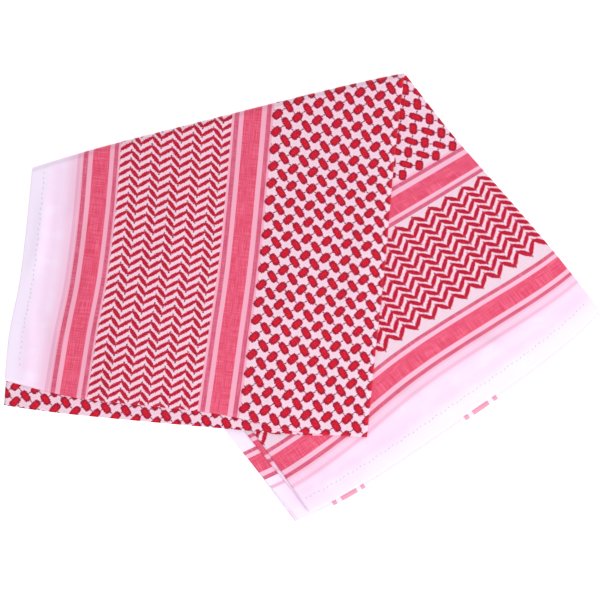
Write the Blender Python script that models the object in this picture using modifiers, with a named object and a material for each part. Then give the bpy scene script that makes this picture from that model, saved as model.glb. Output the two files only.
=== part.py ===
"""A square cotton headscarf, folded in three, folded again on a slant, and laid flat.

The cloth is folded lengthwise into a strip one third of its width, right side out, with its south
end turned in. The strip is then folded once across, on a slanted crease. The left arm lies on top
of the right arm, which runs down to the right and ends at the north hem. Lengths are in
millimetres until the meshes are made. +X is right, +Y is towards the crease, and the ground is Z 0.
"""

import math
from collections import namedtuple

import bpy
import numpy as np

MM = 0.001
COLLECTION = "keffiyeh_headscarf"

# The cloth
PLY = 1.0  # thickness of one wall of cloth
GAP = 0.3  # clearance between pieces that touch
STEP = PLY + GAP  # rise from one layer to the next
HEM_WIDTH = 14.5  # depth of a turned and stitched hem
HEM_MARGIN = 0.5  # distance from a hem strip to the edge that it is turned under
HEM_FALL = 12.0  # distance over which the cloth settles beside a hem

# The stacks
RIGHT_STACK = 3 * STEP + GAP  # what the left arm rests on, where it lies over the right arm
HIDDEN_LAYERS = 3
HIDDEN_PLY = 0.8
HIDDEN_HEIGHT = HIDDEN_LAYERS * HIDDEN_PLY
LEFT_STACK = STEP + HIDDEN_HEIGHT + GAP + PLY
DRAPE_START = 20.0  # how far outside the right arm's edge the left arm starts to come down
DRAPE_LENGTH = 70.0  # distance over which it comes down to the ground
LIFT_START = 40.0  # how far inside that edge the left arm starts to settle from the hem's lift
LIFT_LENGTH = 60.0

# Rolled edges: their radius seen from above
CREASE_RADIUS = 6.0
FOLD_RADIUS = 4.0
END_RADIUS = 3.0

# How far layers stop inside the rolled cloth that wraps them
INSIDE_LOW = 3.0
INSIDE_MIDDLE = 4.0
INSIDE_HIGH = 6.5

# How far the right arm's upper layers stop short of its lowest one, at the north hem. The east
# third stops under the middle third, so it doesn't show there.
NORTH_STEP_EAST = 6.5
NORTH_STEP_MIDDLE = 5.0

# The grooved side of the hidden layers
GROOVE_DEPTH = 0.7
LIP_HEIGHT = 0.15

# Grid lines that all panels of an arm share, as distances from its edges, so that they nest
HEM_LINES = (HEM_WIDTH + 1, HEM_WIDTH + 1 + HEM_FALL)
NORTH_LINES = (NORTH_STEP_MIDDLE + HEM_LINES[1], NORTH_STEP_MIDDLE + HEM_LINES[0])
EDGE_LINE = 8.0
LINES_ACROSS = 10
LINES_DOWN = 9
LINES_IN_ROLL = 4

# Colours
WHITE = (0.86, 0.80, 0.90)
PINK = (0.80, 0.33, 0.42)
ROSE = (0.74, 0.42, 0.48)
RED = (0.78, 0.22, 0.28)

# A section runs from an arm's left edge to its right edge. Sections are evenly spaced, from the
# crease to the arm's end. bow is how far a section's middle stands off its straight line.
Section = namedtuple("Section", "left_x left_y right_x right_y bow")

LEFT_ARM = [
    Section(-267, 133, 104.5, 227, 3),
    Section(-273, 73, 94, 137, 0),
    Section(-281, 14, 86, 45, 0),
    Section(-291, -37, 76, -47, 0),
    Section(-297, -105, 67, -137, -4),
]

RIGHT_ARM = [
    Section(-267, 133, 104.5, 227, 3),
    Section(-201, 42, 153, 165, 0),
    Section(-136, -46, 202, 109, -3),
    Section(-72, -134, 251, 52, -7),
    Section(-5.5, -223, 303, -13, -12),
]

# At the same sections of the right arm, how far inside its left edge each layer starts.
LayerStep = namedtuple("LayerStep", "west_third east_third middle_third")

RIGHT_ARM_STEPS = [
    LayerStep(0, 2, 4),
    LayerStep(0, 6, 10),
    LayerStep(0, 12, 18),
    LayerStep(0, 15, 22),
    LayerStep(5, 19.5, 18.5),
]

# At evenly spaced places from left to right, how far the west third stops short of the left arm's
# end, where the fold of the middle third shows below it.
WEST_THIRD_STOPS = [21, 14.5, 14, 12.5, 3, 0]

# A panel's edge: its distance inside the arm's outline, the radius of its roll, and how much of
# its height above the layer below it the roll comes down.
Edge = namedtuple("Edge", "inset radius drop", defaults=(0, 0, 1))
Edges = namedtuple("Edges", "left right top bottom")

# A panel's grid: where its points lie on the floor, their distance from the arm's left edge and
# from its end, and how far they have turned in a rolled edge.
Place = namedtuple("Place", "x y from_left from_end turn_across turn_down")

# A ring around the hidden layers: its height above their underside, and how far in it is cut.
Ring = namedtuple("Ring", "height inset")


def column(rows, name):
    return np.array([getattr(row, name) for row in rows], float)


def smooth_step(x):
    x = np.clip(x, 0, 1)
    return x * x * (3 - 2 * x)


def along(values, t):
    """A Catmull-Rom curve through evenly spaced values, read at t from 0 to 1."""
    last = len(values) - 1
    place = np.asarray(t, float) * last
    cell = np.clip(place.astype(int), 0, last - 1)
    f = place - cell
    before, after = 2 * values[0] - values[1], 2 * values[-1] - values[-2]
    padded = np.concatenate([[before], values, [after]])
    a, b, c, d = (padded[cell + k] for k in range(4))
    return b + f / 2 * ((c - a) + f * ((2 * a - 5 * b + 4 * c - d) + f * (3 * (b - c) + d - a)))


def grid_lines(length, start, end, near, far, count):
    """Distances of a panel's flat lines: its own two edges, and the lines that the panels share."""
    near = [np.maximum(length * 0 + distance, start + 1 + k) for k, distance in enumerate(near)]
    far = [np.minimum(length - distance, end - len(far) + k) for k, distance in enumerate(far)]
    between = [near[-1] + f * (far[0] - near[-1]) for f in np.linspace(0, 1, count)[1:-1]]
    return [start, *near, *between, *far, end]


def with_rolls(lines, first, last):
    """Adds the lines of rolled edges. Returns every line's distance, and how far it has turned."""
    turns = np.radians(90) * np.arange(1, LINES_IN_ROLL + 1) / LINES_IN_ROLL
    before = [lines[0] - first.radius * np.sin(turn) for turn in turns[::-1] if first.radius]
    after = [lines[-1] + last.radius * np.sin(turn) for turn in turns if last.radius]
    turned = [*-turns[::-1][:len(before)], *(0 for _ in lines), *turns[:len(after)]]
    return [*before, *lines, *after], np.array(turned, float)


def arm_sides(arm, down):
    return (along(column(arm, name), down) for name in Section._fields[:4])


def arm_span(arm, down):
    left_x, left_y, right_x, right_y = arm_sides(arm, down)
    return np.hypot(right_x - left_x, right_y - left_y)


def arm_length(arm, across):
    first, last = arm[0], arm[-1]
    left = math.hypot(last.left_x - first.left_x, last.left_y - first.left_y)
    right = math.hypot(last.right_x - first.right_x, last.right_y - first.right_y)
    return left + across * (right - left)


def arm_point(arm, across, down):
    """Floor position at fractions across and down an arm, each section pushed out as a flat bow."""
    left_x, left_y, right_x, right_y = arm_sides(arm, down)
    push = (1 - (2 * across - 1) ** 4) * along(column(arm, "bow"), down) / arm_span(arm, down)
    span_x, span_y = right_x - left_x, right_y - left_y
    return left_x + across * span_x - push * span_y, left_y + across * span_y + push * span_x


def across_lines(arm, edges, down, left_steps, hem_side):
    span = arm_span(arm, down)
    start = along(left_steps, down) + edges.left.inset + edges.left.radius
    if hem_side == "left":
        return with_rolls([start, start + HEM_WIDTH - HEM_MARGIN], edges.left, edges.right)
    end = span - edges.right.inset - edges.right.radius
    flat = grid_lines(span, start, end, HEM_LINES, (EDGE_LINE,), LINES_ACROSS)
    return with_rolls(flat, edges.left, edges.right)


def down_lines(edges, length, end_steps, hem_side):
    start = edges.top.inset + edges.top.radius + 0 * length
    end = length - end_steps - edges.bottom.inset - edges.bottom.radius
    if hem_side == "bottom":
        return with_rolls([end - HEM_WIDTH + HEM_MARGIN, end], edges.top, edges.bottom)
    flat = grid_lines(length, start, end, (EDGE_LINE,), NORTH_LINES, LINES_DOWN)
    return with_rolls(flat, edges.top, edges.bottom)


def lay_out(arm, edges, left_steps=(0, 0), end_steps=(0, 0), hem_side=None):
    """The grid of a panel on an arm, in arrays of (down, across).

    left_steps moves the left edge in along the arm, end_steps stops the arm's end short, from left
    to right, and hem_side keeps only the width of a hem at that side.
    """
    left_steps, end_steps = np.asarray(left_steps, float), np.asarray(end_steps, float)
    middle = 0.5
    lines, turn_across = across_lines(arm, edges, middle, left_steps, hem_side)
    across = np.array(lines) / arm_span(arm, middle)
    length = arm_length(arm, across)
    lines, turn_down = down_lines(edges, length, along(end_steps, across), hem_side)
    reach_down = np.array(lines)
    down = reach_down / length
    lines, _ = across_lines(arm, edges, down, left_steps, hem_side)
    reach_across = np.stack([line[:, k] for k, line in enumerate(lines)], axis=1)
    x, y = arm_point(arm, reach_across / arm_span(arm, down), down)
    turn_across, turn_down = np.meshgrid(turn_across, turn_down)
    return Place(x, y, reach_across, length - reach_down, turn_across, turn_down)


def inside_right_arm(place):
    """Signed distance inside the straight line along the right arm's left edge."""
    first, last = RIGHT_ARM[0], RIGHT_ARM[-1]
    run_x, run_y = last.left_x - first.left_x, last.left_y - first.left_y
    cross = (place.y - first.left_y) * run_x - (place.x - first.left_x) * run_y
    return cross / math.hypot(run_x, run_y)


def over_hem(distance):
    """How far a hem turned under the cloth lifts it, at a distance from the edge."""
    return STEP * np.clip((HEM_LINES[1] - distance) / HEM_FALL, 0, 1)


def left_arm_rest(place):
    """Underside of the left arm: on the right arm, down a short drape, then flat on the ground."""
    inside = inside_right_arm(place)
    ramp = smooth_step((inside + DRAPE_START + DRAPE_LENGTH) / DRAPE_LENGTH)
    lift = STEP * (1 - smooth_step((inside - LIFT_START) / LIFT_LENGTH))
    return ramp * (RIGHT_STACK + lift)


def rolled(place, height, rest, edges):
    """Height of a panel whose edges roll down along quarter ellipses, the top one to the ground."""
    above = height - rest
    for edge, turn in (
        (edges.left, np.minimum(place.turn_across, 0)),
        (edges.right, np.maximum(place.turn_across, 0)),
        (edges.bottom, np.maximum(place.turn_down, 0)),
    ):
        above = above * (1 - edge.drop * (1 - np.cos(turn)))
    return (rest + above) * np.cos(np.minimum(place.turn_down, 0))


def halved(quads):
    """Triangles of quads, all cut on the same diagonal, so that nested panels stay clear."""
    return np.concatenate([quads[..., [0, 1, 2]], quads[..., [0, 2, 3]]], axis=-2).reshape(-1, 3)


def grid_faces(rows, count):
    """Triangles of a grid of points, rows down and columns across, facing up."""
    index = np.arange(rows * count).reshape(rows, count)
    return halved(np.stack([index[:-1, :-1], index[1:, :-1], index[1:, 1:], index[:-1, 1:]], axis=-1))


def cotton(name, colour):
    material = bpy.data.materials.new(name)
    material.use_nodes = True
    shader = material.node_tree.nodes["Principled BSDF"]
    shader.inputs["Base Color"].default_value = (*colour, 1)
    shader.inputs["Roughness"].default_value = 0.9
    shader.inputs["Metallic"].default_value = 0
    return material


def make_object(name, points, faces, colour):
    mesh = bpy.data.meshes.new(name)
    mesh.from_pydata(points * MM, [], faces.tolist())
    mesh.shade_smooth()
    mesh.materials.append(cotton(name + "_cotton", colour))
    obj = bpy.data.objects.new(name, mesh)
    bpy.data.collections[COLLECTION].objects.link(obj)
    return obj


def on_ground(place):
    return 0 * place.x


def panel(name, colour, arm, edges, top_height, rest=on_ground, **layout):
    """One wall of cloth: its upper surface on a grid, thickened downwards by one ply."""
    place = lay_out(arm, edges, **layout)
    height = rolled(place, rest(place) + top_height(place), rest(place), edges)
    points = np.stack([place.x, place.y, height], axis=-1).reshape(-1, 3)
    obj = make_object(name, points, grid_faces(*place.x.shape), colour)
    wall = obj.modifiers.new("wall", "SOLIDIFY")
    wall.thickness = PLY * MM
    wall.offset = -1


def layered_solid(name, colour, arm, insets, underside, end_steps):
    """Hidden layers as one solid: grooved rings up the side, and a grid above and below."""
    rings = [Ring(0, GROOVE_DEPTH)]
    for layer in range(HIDDEN_LAYERS):
        rings += [
            Ring(layer * HIDDEN_PLY + LIP_HEIGHT, 0),
            Ring((layer + 1) * HIDDEN_PLY - LIP_HEIGHT, 0),
            Ring((layer + 1) * HIDDEN_PLY, GROOVE_DEPTH),
        ]
    grids = []
    for ring in rings:
        edges = Edges(*(Edge(inset + ring.inset) for inset in insets))
        place = lay_out(arm, edges, end_steps=end_steps)
        grids.append(np.stack([place.x, place.y, underside(place) + ring.height], axis=-1))
    rows, count = grids[0].shape[:2]
    index = np.arange(rows * count).reshape(rows, count)
    rim = np.concatenate([index[:-1, 0], index[-1, :-1], index[:0:-1, -1], index[0, :0:-1]])
    flat = [grid.reshape(-1, 3) for grid in grids]
    points = np.concatenate([flat[0], flat[-1], *(grid[rim] for grid in flat[1:-1])])
    middle = 2 * index.size + np.arange((len(rings) - 2) * rim.size).reshape(-1, rim.size)
    loops = np.vstack([rim, middle, rim + index.size])
    following = np.roll(loops, -1, axis=1)
    side = halved(np.stack([loops[:-1], following[:-1], following[1:], loops[1:]], axis=-1))
    cap = grid_faces(rows, count)
    faces = np.concatenate([cap[:, ::-1], cap + index.size, side])
    make_object(name, points, faces, colour)


def make_right_arm():
    """Three layers on the ground: west third, east third, then the middle third on top."""
    inside = Edge(INSIDE_LOW)
    panel(
        "right_arm_west_hem", WHITE, RIGHT_ARM, Edges(Edge(), Edge(), inside, Edge(HEM_MARGIN)),
        lambda place: PLY, hem_side="left",
    )
    panel(
        "right_arm_west_third", ROSE, RIGHT_ARM, Edges(Edge(), inside, inside, Edge()),
        lambda place: PLY + over_hem(place.from_left), left_steps=column(RIGHT_ARM_STEPS, "west_third"),
    )
    panel(
        "right_arm_east_third", ROSE, RIGHT_ARM, Edges(Edge(), inside, inside, Edge(NORTH_STEP_EAST)),
        lambda place: PLY + STEP + over_hem(place.from_left), left_steps=column(RIGHT_ARM_STEPS, "east_third"),
    )
    middle_steps = column(RIGHT_ARM_STEPS, "middle_third")
    panel(
        "right_arm_north_hem", WHITE, RIGHT_ARM,
        Edges(Edge(1), Edge(INSIDE_HIGH), Edge(), Edge(NORTH_STEP_MIDDLE + HEM_MARGIN)),
        lambda place: PLY + 2 * STEP + over_hem(place.from_left), left_steps=middle_steps, hem_side="bottom",
    )
    panel(
        "right_arm_middle_third", PINK, RIGHT_ARM,
        Edges(Edge(), Edge(0, FOLD_RADIUS), inside, Edge(NORTH_STEP_MIDDLE)),
        lambda place: PLY + 2 * STEP + over_hem(place.from_left) + over_hem(place.from_end - NORTH_STEP_MIDDLE),
        left_steps=middle_steps,
    )


def make_left_arm():
    """The middle third below, the hidden layers, then the west third, which rolls over the crease."""
    hidden_top = LEFT_STACK - PLY
    panel(
        "left_arm_middle_third", RED, LEFT_ARM,
        Edges(Edge(1), Edge(FOLD_RADIUS + 2 * GAP), Edge(INSIDE_MIDDLE), Edge()),
        lambda place: PLY, rest=left_arm_rest,
    )
    layered_solid(
        "left_arm_hidden_layers", ROSE, LEFT_ARM, (3, FOLD_RADIUS + 2 * GAP, INSIDE_HIGH, END_RADIUS + 1),
        lambda place: left_arm_rest(place) + STEP, WEST_THIRD_STOPS,
    )
    panel(
        "left_arm_west_hem", WHITE, LEFT_ARM,
        Edges(Edge(HEM_MARGIN), Edge(), Edge(INSIDE_HIGH), Edge(END_RADIUS + 1)),
        lambda place: hidden_top + PLY, rest=left_arm_rest,
        end_steps=WEST_THIRD_STOPS, hem_side="left",
    )
    panel(
        "left_arm_west_third", PINK, LEFT_ARM,
        Edges(
            Edge(),
            Edge(0, FOLD_RADIUS),
            Edge(0, CREASE_RADIUS),
            Edge(0, END_RADIUS, 1 - (STEP + GAP) / LEFT_STACK),
        ),
        lambda place: LEFT_STACK + over_hem(place.from_left), rest=left_arm_rest,
        end_steps=WEST_THIRD_STOPS,
    )


def centre_on_floor():
    """Moves every mesh so that the scarf's box is centred on Z."""
    meshes = [obj.data for obj in bpy.data.collections[COLLECTION].objects]
    corners = np.array([vertex.co for mesh in meshes for vertex in mesh.vertices])
    middle = (corners.min(axis=0) + corners.max(axis=0)) / 2
    for mesh in meshes:
        for vertex in mesh.vertices:
            vertex.co.x -= middle[0]
            vertex.co.y -= middle[1]


def main():
    for obj in list(bpy.data.objects):
        bpy.data.objects.remove(obj)
    collection = bpy.data.collections.new(COLLECTION)
    bpy.context.scene.collection.children.link(collection)
    make_right_arm()
    make_left_arm()
    centre_on_floor()


main()
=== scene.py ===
"""The looks of a folded keffiyeh headscarf: its cloth, hems, stitches and woven pattern.

Each stretch of cloth that shows is a thin shell on the form of its solid. It carries its place in
the flat cloth, in metres from the west and north hems, and one cotton reads its whole pattern from
that place. Lengths in the tables are millimetres. +X is right and +Y is towards the crease.
"""

import math
from collections import namedtuple

import bpy
import numpy as np
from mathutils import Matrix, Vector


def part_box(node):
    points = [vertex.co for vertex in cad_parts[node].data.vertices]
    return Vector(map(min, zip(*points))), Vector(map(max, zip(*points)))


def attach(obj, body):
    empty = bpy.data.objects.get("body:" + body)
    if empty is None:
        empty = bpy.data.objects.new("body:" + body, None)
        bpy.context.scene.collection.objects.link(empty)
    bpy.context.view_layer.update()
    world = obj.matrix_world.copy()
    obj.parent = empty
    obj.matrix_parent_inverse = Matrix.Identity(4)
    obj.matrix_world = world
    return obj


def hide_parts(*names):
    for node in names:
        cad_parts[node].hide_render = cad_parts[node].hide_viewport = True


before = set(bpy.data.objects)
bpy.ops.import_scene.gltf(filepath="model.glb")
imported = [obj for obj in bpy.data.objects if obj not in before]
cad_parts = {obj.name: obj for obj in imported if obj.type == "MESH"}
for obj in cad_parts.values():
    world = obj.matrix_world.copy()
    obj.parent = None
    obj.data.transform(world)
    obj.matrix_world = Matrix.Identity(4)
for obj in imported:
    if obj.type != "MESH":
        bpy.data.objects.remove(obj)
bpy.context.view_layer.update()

bl_info = {
    "name": "Folded keffiyeh headscarf",
    "version": (1, 0, 0),
    "blender": (4, 5, 0),
    "location": "3D View > Sidebar > Headscarf",
    "description": "Makes a folded keffiyeh headscarf with a woven pattern, and a plain stage for it",
    "category": "Add Mesh",
}

MM = 0.001
CLOTH_MAP = "cloth"  # the UV map that holds a point's place in the flat cloth

# The cloth and its layers, as in the solids
PLY = 1.0
STEP = 1.3
GAP = 0.3
HEM_WIDTH = 14.5
HEM_FALL = 12.0
HEM_REACH = HEM_WIDTH + 1
RIGHT_STACK = 3 * STEP + GAP
HIDDEN_LAYERS = 3
HIDDEN_PLY = 0.8
HIDDEN_HEIGHT = HIDDEN_LAYERS * HIDDEN_PLY
LEFT_STACK = STEP + HIDDEN_HEIGHT + GAP + PLY
DRAPE_START = 20.0
DRAPE_LENGTH = 70.0
LIFT_START = 40.0
LIFT_LENGTH = 60.0
CREASE_RADIUS = 6.0
FOLD_RADIUS = 4.0
END_RADIUS = 3.0
INSIDE_LOW = 3.0
INSIDE_MIDDLE = 4.0
INSIDE_HIGH = 6.5
NORTH_STEP_EAST = 6.5
NORTH_STEP_MIDDLE = 5.0
GROOVE_DEPTH = 0.7
LIP_HEIGHT = 0.15

# The visible shells
HEM_TURN = 1.3  # radius of the fold along a hem
GRID = 2.6  # spacing of the grid lines
ROLL_LINES = 7
SIDE = 1110.0  # side of the square cloth

Section = namedtuple("Section", "left_x left_y right_x right_y bow")

LEFT_ARM = [
    Section(-267, 133, 104.5, 227, 3),
    Section(-273, 73, 94, 137, 0),
    Section(-281, 14, 86, 45, 0),
    Section(-291, -37, 76, -47, 0),
    Section(-297, -105, 67, -137, -4),
]

RIGHT_ARM = [
    Section(-267, 133, 104.5, 227, 3),
    Section(-201, 42, 153, 165, 0),
    Section(-136, -46, 202, 109, -3),
    Section(-72, -134, 251, 52, -7),
    Section(-5.5, -223, 303, -13, -12),
]

LayerStep = namedtuple("LayerStep", "west_third east_third middle_third")

RIGHT_ARM_STEPS = [
    LayerStep(0, 2, 4),
    LayerStep(0, 6, 10),
    LayerStep(0, 12, 18),
    LayerStep(0, 15, 22),
    LayerStep(5, 19.5, 18.5),
]

WEST_THIRD_STOPS = [21, 14.5, 14, 12.5, 3, 0]

# Where an arm's two edges lie in the flat cloth at the same sections: u is the distance from the
# west hem, and v the distance from the north hem. Each stretch has its own table.
Weave = namedtuple("Weave", "left_u right_u left_v right_v")

LEFT_ARM_WEST = [
    Weave(0, 371.5, 456, 304),
    Weave(-0.5, 370, 522, 400),
    Weave(0, 369.5, 579, 500),
    Weave(2, 369, 629, 596),
    Weave(8, 371, 703, 689),
]

RIGHT_ARM_MIDDLE = [
    Weave(735, 358, 444, 329),
    Weave(741, 361, 329, 254),
    Weave(746, 361, 214, 170),
    Weave(754, 361, 101, 89),
    Weave(754, 363, -10, -7),
]


def other_third(rows, left_u, right_u):
    """The weave of another third, folded over the same arm."""
    return [row._replace(left_u=left_u, right_u=right_u) for row in rows]


# How far the weave of the right arm's top is drawn towards its end, at evenly spaced places across
NORTH_DRAWN = [23.7, 13.7, 2.2, 0.9, 6.5]
DRAWN_FROM = 0.70  # share down the arm where the pull starts
DRAWN_OVER = 0.07

LEFT_ARM_MIDDLE = other_third(LEFT_ARM_WEST, 740, 370)
RIGHT_ARM_EAST = other_third(RIGHT_ARM_MIDDLE, 740, 1110)
RIGHT_ARM_WEST = [
    Weave(0, 370, 444, 329),
    Weave(0, 370, 336, 254),
    Weave(0, 370, 226, 170),
    Weave(0, 370, 115, 89),
    Weave(12, 369, 4, -7),
]

# Creases, as soft ridges between two places given in shares across and down an arm.
Crease = namedtuple("Crease", "across down to_across to_down width height")
CREASE_FADE = 0.35  # share of a crease over which each of its ends fades

LEFT_CREASES = [
    Crease(0.035, 0.08, 0.02, 0.52, 6, 1.0),
    Crease(0.13, 0.03, 0.10, 0.30, 9, 0.7),
    Crease(0.08, 0.58, 0.14, 0.93, 8, 0.9),
    Crease(0.03, 0.55, 0.05, 0.99, 6, 0.7),
    Crease(0.17, 0.20, 0.18, 0.72, 7, 0.5),
    Crease(0.30, 0.75, 0.24, 1.00, 10, 0.6),
    Crease(0.40, 0.10, 0.36, 0.55, 14, 0.5),
    Crease(0.55, 0.05, 0.62, 0.35, 13, 0.5),
    Crease(0.75, 0.40, 0.70, 0.80, 12, 0.5),
    Crease(0.93, 0.30, 0.90, 0.72, 9, 0.7),
    Crease(0.62, 0.97, 0.86, 0.90, 8, 0.6),
]

RIGHT_CREASES = [
    Crease(0.10, 0.80, 0.32, 0.98, 9, 1.2),
    Crease(0.40, 0.84, 0.52, 0.99, 10, 1.0),
    Crease(0.66, 0.82, 0.75, 0.99, 8, 1.1),
    Crease(0.86, 0.60, 0.80, 0.92, 9, 0.9),
    Crease(0.93, 0.30, 0.90, 0.55, 8, 0.7),
    Crease(0.05, 0.86, 0.16, 0.99, 7, 0.9),
    Crease(0.55, 0.90, 0.95, 0.93, 8, 0.7),
    Crease(0.60, 0.30, 0.72, 0.62, 14, 0.6),
]

Edge = namedtuple("Edge", "inset radius drop", defaults=(0, 0, 1))
Edges = namedtuple("Edges", "left right top bottom")
Place = namedtuple("Place", "x y across down from_left from_end turn_across turn_down")
Ring = namedtuple("Ring", "height inset")
# The end of the left arm's middle third: barely rolled
THIN_END = Edge(0, 0.8, 0.6)
HIDDEN_INSET = 3.0  # of the hidden layers, from the left edge

# A stitch: its sides, its rings' places in shares of its length, and its heights in thicknesses
STITCH_SIDES = 6
STITCH_RINGS = (-0.36, 0.0, 0.36)
STITCH_NARROWING = 0.8
STITCH_RISE = 0.3
RING_SINK = 0.5
POLE_SINK = 0.4
STITCH_SLANT = 18  # degrees from the hem
STITCH_WANDER = 0.5
STITCH_WANDER_TURN = 1.7  # radians from one stitch to the next
STITCH_FROM_HEM = 0.5  # distance of the stitches from the hem's inner edge
STITCH_STOP = 8.0  # distance of the last stitch from the cloth's edge


# ---------------- shapes


def column(rows, name):
    return np.array([getattr(row, name) for row in rows], float)


def smooth_step(x):
    x = np.clip(x, 0, 1)
    return x * x * (3 - 2 * x)


def along(values, t):
    """A Catmull-Rom curve through evenly spaced values, read at t from 0 to 1."""
    last = len(values) - 1
    place = np.asarray(t, float) * last
    cell = np.clip(place.astype(int), 0, last - 1)
    f = place - cell
    before, after = 2 * values[0] - values[1], 2 * values[-1] - values[-2]
    padded = np.concatenate([[before], values, [after]])
    a, b, c, d = (padded[cell + k] for k in range(4))
    return b + f / 2 * ((c - a) + f * ((2 * a - 5 * b + 4 * c - d) + f * (3 * (b - c) + d - a)))


def arm_sides(arm, down):
    return (along(column(arm, name), down) for name in Section._fields[:4])


def arm_span(arm, down):
    left_x, left_y, right_x, right_y = arm_sides(arm, down)
    return np.hypot(right_x - left_x, right_y - left_y)


def arm_length(arm, across):
    """Distance from the crease to the arm's end: the two sides' lengths, mixed across the arm."""
    first, last = arm[0], arm[-1]
    left = math.hypot(last.left_x - first.left_x, last.left_y - first.left_y)
    right = math.hypot(last.right_x - first.right_x, last.right_y - first.right_y)
    return left + across * (right - left)


def arm_point(arm, across, down):
    """Floor position at shares across and down an arm.

    A straight section is pushed out as a flat bow: 1 less the fourth power of the way from its middle.
    """
    left_x, left_y, right_x, right_y = arm_sides(arm, down)
    push = (1 - (2 * across - 1) ** 4) * along(column(arm, "bow"), down) / arm_span(arm, down)
    span_x, span_y = right_x - left_x, right_y - left_y
    return left_x + across * span_x - push * span_y, left_y + across * span_y + push * span_x


def grid_shares(first, last, count):
    """Shares of evenly spaced lines between two edges, their reach past them, and their turn.

    The lines of a rolled edge follow a quarter circle: each reaches out by the radius times the
    sine of its turn.
    """
    turns = np.radians(90) * np.arange(1, ROLL_LINES + 1) / ROLL_LINES
    before = turns[::-1] if first.radius else turns[:0]
    after = turns if last.radius else turns[:0]
    share = np.concatenate([0 * before, np.linspace(0, 1, count), 0 * after + 1])
    turned = np.concatenate([-before, np.zeros(count), after])
    return share, np.sin(turned) * np.where(turned < 0, first.radius, last.radius), turned


def lay_out(arm, edges, left_steps=(0, 0), end_steps=(0, 0), hem_side=None, grid=GRID):
    """The grid of a panel on an arm, in arrays of (down, across), from its edges' distances."""
    left_steps, end_steps = np.asarray(left_steps, float), np.asarray(end_steps, float)

    def across_ends(down):
        start = along(left_steps, down) + edges.left.inset + edges.left.radius
        if hem_side == "left":
            return start, start + HEM_WIDTH - edges.left.radius
        return start, arm_span(arm, down) - edges.right.inset - edges.right.radius

    start, end = across_ends(0.5)
    share, reach, turn_across = grid_shares(edges.left, edges.right, max(2, round((end - start) / grid)))
    across = (start + share * (end - start) + reach) / arm_span(arm, 0.5)
    length = arm_length(arm, across)
    end = length - along(end_steps, np.clip(across, 0, 1)) - edges.bottom.inset - edges.bottom.radius
    start = 0 * end + edges.top.inset + edges.top.radius
    if hem_side == "bottom":
        start = end - HEM_WIDTH
    count = max(2, round(float((end - start).max()) / grid))
    down_share, down_reach, turn_down = grid_shares(edges.top, edges.bottom, count)
    reach_down = start + down_share[:, None] * (end - start) + down_reach[:, None]
    down = reach_down / length
    start, end = across_ends(down)
    reach_across = start + share * (end - start) + reach
    across = reach_across / arm_span(arm, down)
    x, y = arm_point(arm, across, down)
    turn_across, turn_down = np.meshgrid(turn_across, turn_down)
    return Place(x, y, across, down, reach_across, length - reach_down, turn_across, turn_down)


def spots(arm, reach_across, reach_down):
    """Places at distances from an arm's left edge and from its crease, on a panel's flat part."""
    down = reach_down / arm_length(arm, reach_across / arm_span(arm, 0.5))
    across = reach_across / arm_span(arm, down)
    x, y = arm_point(arm, across, down)
    return Place(x, y, across, down, reach_across, arm_length(arm, across) - reach_down, 0 * x, 0 * x)


def inside_right_arm(place):
    """Signed distance inside the straight line along the right arm's left edge."""
    first, last = RIGHT_ARM[0], RIGHT_ARM[-1]
    run_x, run_y = last.left_x - first.left_x, last.left_y - first.left_y
    cross = (place.y - first.left_y) * run_x - (place.x - first.left_x) * run_y
    return cross / math.hypot(run_x, run_y)


def over_hem(distance):
    """How far a hem turned under the cloth lifts it: a step that eases down beside the hem."""
    return STEP * smooth_step((HEM_REACH + HEM_FALL - distance) / HEM_FALL)


def left_arm_rest(place):
    """Underside of the left arm: on the right arm, down a short drape, then flat on the ground."""
    inside = inside_right_arm(place)
    ramp = smooth_step((inside + DRAPE_START + DRAPE_LENGTH) / DRAPE_LENGTH)
    lift = STEP * (1 - smooth_step((inside - LIFT_START) / LIFT_LENGTH))
    return ramp * (RIGHT_STACK + lift)


def on_ground(place):
    return 0 * place.x


def rolled(place, height, rest, edges):
    """Height of a panel whose edges roll down along quarter ellipses, the top one to the ground."""
    above = height - rest
    for edge, turn in (
        (edges.left, np.minimum(place.turn_across, 0)),
        (edges.right, np.maximum(place.turn_across, 0)),
        (edges.bottom, np.maximum(place.turn_down, 0)),
    ):
        above = above * (1 - edge.drop * (1 - np.cos(turn)))
    return (rest + above) * np.cos(np.minimum(place.turn_down, 0))


def creased(place, arm, creases):
    """Height of soft ridges: each a bell across its bent line, fading to nothing at both ends."""
    height = 0 * place.x
    for crease in creases:
        start = np.array(arm_point(arm, crease.across, crease.down))
        run = np.array(arm_point(arm, crease.to_across, crease.to_down)) - start
        length = math.hypot(*run)
        t = ((place.x - start[0]) * run[0] + (place.y - start[1]) * run[1]) / length**2
        off = ((place.x - start[0]) * run[1] - (place.y - start[1]) * run[0]) / length
        off = off + crease.width * np.sin(3 * t)
        ends = smooth_step(t / CREASE_FADE) * smooth_step((1 - t) / CREASE_FADE)
        height = height + crease.height * ends * np.exp(-((off / crease.width) ** 2))
    return height


def grid_quads(rows, count):
    """Quads of a grid of points, rows down and columns across, facing up."""
    index = np.arange(rows * count).reshape(rows, count)
    quads = np.stack([index[:-1, :-1], index[1:, :-1], index[1:, 1:], index[:-1, 1:]], axis=-1)
    return quads.reshape(-1, 4)


# ---------------- meshes


def table_shift():
    """How far the solids stand from the tables' own origin, from one node's box."""
    edges = Edges(Edge(), Edge(0, FOLD_RADIUS), Edge(0, CREASE_RADIUS), Edge(0, END_RADIUS))
    place = lay_out(LEFT_ARM, edges, end_steps=WEST_THIRD_STOPS)
    low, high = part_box("left_arm_west_third")
    return (
        (low.x + high.x) / 2 - (place.x.min() + place.x.max()) / 2 * MM,
        (low.y + high.y) / 2 - (place.y.min() + place.y.max()) / 2 * MM,
    )


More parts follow.
